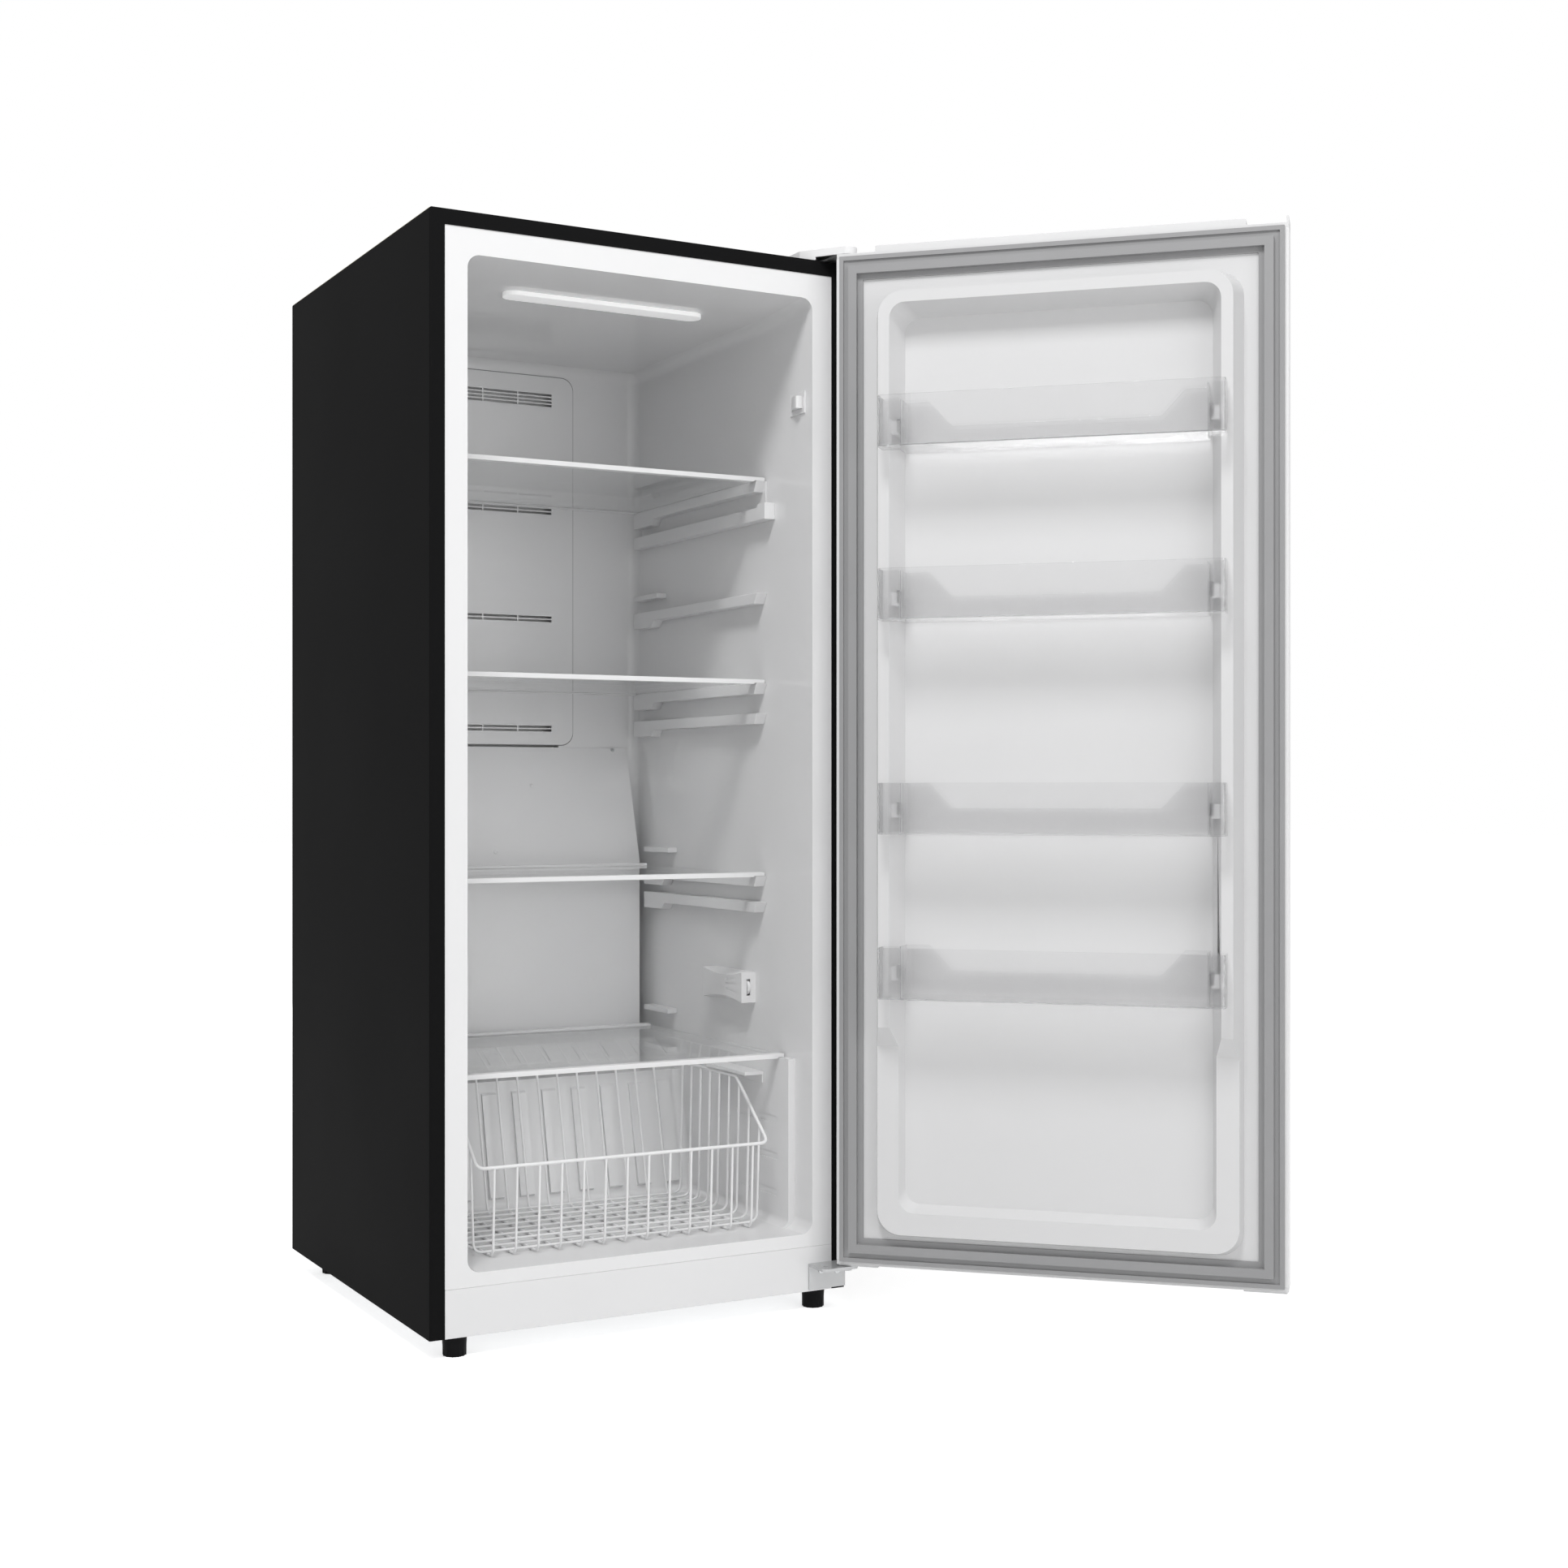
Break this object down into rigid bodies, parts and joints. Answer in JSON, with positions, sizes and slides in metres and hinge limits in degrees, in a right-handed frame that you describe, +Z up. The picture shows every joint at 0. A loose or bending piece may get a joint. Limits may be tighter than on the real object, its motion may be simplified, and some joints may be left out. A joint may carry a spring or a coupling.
{
  "type": "upright freezer",
  "caption": "Tall free-standing upright freezer with one right-hinged door standing open, glass shelves, door bins, a lower wire basket and a rear machine compartment.",
  "frame": {"origin": "on the floor under the middle of the cabinet's footprint", "axes": "+Z up, +Y towards the cabinet's back, +X to the right seen from the front"},
  "size_m": [1.2233, 1.27, 1.731],
  "materials": {
    "black_paint": "satin black textured paint",
    "zinc_steel": "bare galvanised sheet",
    "insulation": "rigid foam, not seen",
    "white_liner": "smooth white",
    "white_trim": "smooth white",
    "fin_aluminium": "bare",
    "heater_steel": "bare",
    "lens": "frosted diffuser",
    "board": "matt",
    "black_steel": "black enamel",
    "rubber": "matt",
    "dark_plastic": "matt black",
    "copper": "copper",
    "hinge_steel": "zinc plated",
    "white_paint": "smooth white paint",
    "gasket_grey": "soft vinyl",
    "cap_plastic": "matt",
    "clear_plastic": "clear moulded plastic",
    "shelf_glass": "clear toughened glass",
    "white_wire": "white powder coat"
  },
  "bodies": {
    "cabinet": {"outer_wrap": "black_paint", "back_panel": "zinc_steel", "cabinet_foam": "insulation", "inner_liner": "white_liner", "kick_panel": "white_liner", "bottom_panel": "zinc_steel", "duct_cover": "white_liner", "evaporator_cover": "white_liner", "evaporator_coil": "fin_aluminium", "defrost_heater": "heater_steel", "fan_motor": "zinc_steel", "drain_tube": "white_liner", "light_lens": "lens", "light_board": "board", "switch_housing": "white_liner", "control_housing": "white_liner", "shelf_supports": "white_liner", "basket_runners": "white_liner", "compressor": "black_steel", "compressor_plate": "zinc_steel", "compressor_grommets": "rubber", "relay_box": "dark_plastic", "refrigerant_tubes": "copper", "drip_tray": "dark_plastic", "machine_cover": "zinc_steel", "condenser_tubes": "copper", "cord_gland": "rubber", "top_hinge": "hinge_steel", "top_hinge_cover": "white_trim", "bottom_hinge": "hinge_steel", "hinge_screws": "hinge_steel"},
    "door": {"door_skin": "white_paint", "door_foam": "insulation", "door_liner": "white_liner", "door_gasket": "gasket_grey", "door_top_cap": "cap_plastic", "door_bottom_cap": "cap_plastic", "door_bushes": "cap_plastic", "door_end_plates": "hinge_steel", "foam_plug": "dark_plastic"},
    "bin_1_body": {"bin_1": "clear_plastic"},
    "bin_2_body": {"bin_2": "clear_plastic"},
    "bin_3_body": {"bin_3": "clear_plastic"},
    "bin_4_body": {"bin_4": "clear_plastic"},
    "shelf_1_body": {"shelf_1_glass": "shelf_glass", "shelf_1_trim": "white_trim"},
    "shelf_2_body": {"shelf_2_glass": "shelf_glass", "shelf_2_trim": "white_trim"},
    "shelf_3_body": {"shelf_3_glass": "shelf_glass", "shelf_3_trim": "white_trim"},
    "cover_body": {"cover_glass": "shelf_glass", "cover_trim": "white_trim"},
    "basket_body": {"wire_basket": "white_wire"},
    "fan_body": {"fan_blade": "dark_plastic"},
    "lever_body": {"switch_lever": "white_liner"},
    "wheel_body": {"control_wheel": "white_liner"},
    "foot_1_body": {"foot_1": "dark_plastic"},
    "foot_2_body": {"foot_2": "dark_plastic"},
    "foot_3_body": {"foot_3": "dark_plastic"},
    "foot_4_body": {"foot_4": "dark_plastic"}
  },
  "joints": [
    {"name": "door_hinge", "type": "hinge", "parent": "cabinet", "child": "door", "pos_m": [0.344, -0.396, 0.898], "axis": [0, 0, 1], "range_deg": [-135, 0]},
    {"name": "bin_1_lift", "type": "slide", "parent": "door", "child": "bin_1_body", "axis": [0, 0, 1], "range_m": [0, 0.03]},
    {"name": "bin_2_lift", "type": "slide", "parent": "door", "child": "bin_2_body", "axis": [0, 0, 1], "range_m": [0, 0.03]},
    {"name": "bin_3_lift", "type": "slide", "parent": "door", "child": "bin_3_body", "axis": [0, 0, 1], "range_m": [0, 0.03]},
    {"name": "bin_4_lift", "type": "slide", "parent": "door", "child": "bin_4_body", "axis": [0, 0, 1], "range_m": [0, 0.03]},
    {"name": "shelf_1_slide", "type": "slide", "parent": "cabinet", "child": "shelf_1_body", "axis": [0, -1, 0], "range_m": [0, 0.3]},
    {"name": "shelf_2_slide", "type": "slide", "parent": "cabinet", "child": "shelf_2_body", "axis": [0, -1, 0], "range_m": [0, 0.3]},
    {"name": "shelf_3_slide", "type": "slide", "parent": "cabinet", "child": "shelf_3_body", "axis": [0, -1, 0], "range_m": [0, 0.3]},
    {"name": "cover_slide", "type": "slide", "parent": "cabinet", "child": "cover_body", "axis": [0, -1, 0], "range_m": [0, 0.3]},
    {"name": "basket_slide", "type": "slide", "parent": "cabinet", "child": "basket_body", "axis": [0, -1, 0], "range_m": [0, 0.3]},
    {"name": "fan_spin", "type": "hinge", "parent": "cabinet", "child": "fan_body", "pos_m": [-0.014, 0.3005, 0.77], "axis": [0, -1, 0], "continuous": true},
    {"name": "switch_rock", "type": "hinge", "parent": "cabinet", "child": "lever_body", "pos_m": [0.297, -0.30085, 1.486], "axis": [0, 0, -1], "range_deg": [-10, 0], "stiffness_Nm_per_rad": 0.02, "springref_deg": 5.73},
    {"name": "control_turn", "type": "hinge", "parent": "cabinet", "child": "wheel_body", "pos_m": [0.2835, -0.1545, 0.51], "axis": [1, 0, 0], "range_deg": [-135, 135]},
    {"name": "foot_1_turn", "type": "hinge", "parent": "cabinet", "child": "foot_1_body", "pos_m": [-0.31, -0.3415, 0.015], "axis": [0, 0, 1], "continuous": true},
    {"name": "foot_2_turn", "type": "hinge", "parent": "cabinet", "child": "foot_2_body", "pos_m": [0.31, -0.3415, 0.015], "axis": [0, 0, 1], "continuous": true},
    {"name": "foot_3_turn", "type": "hinge", "parent": "cabinet", "child": "foot_3_body", "pos_m": [-0.31, 0.2765, 0.015], "axis": [0, 0, 1], "continuous": true},
    {"name": "foot_4_turn", "type": "hinge", "parent": "cabinet", "child": "foot_4_body", "pos_m": [0.31, 0.2765, 0.015], "axis": [0, 0, 1], "continuous": true}
  ]
}
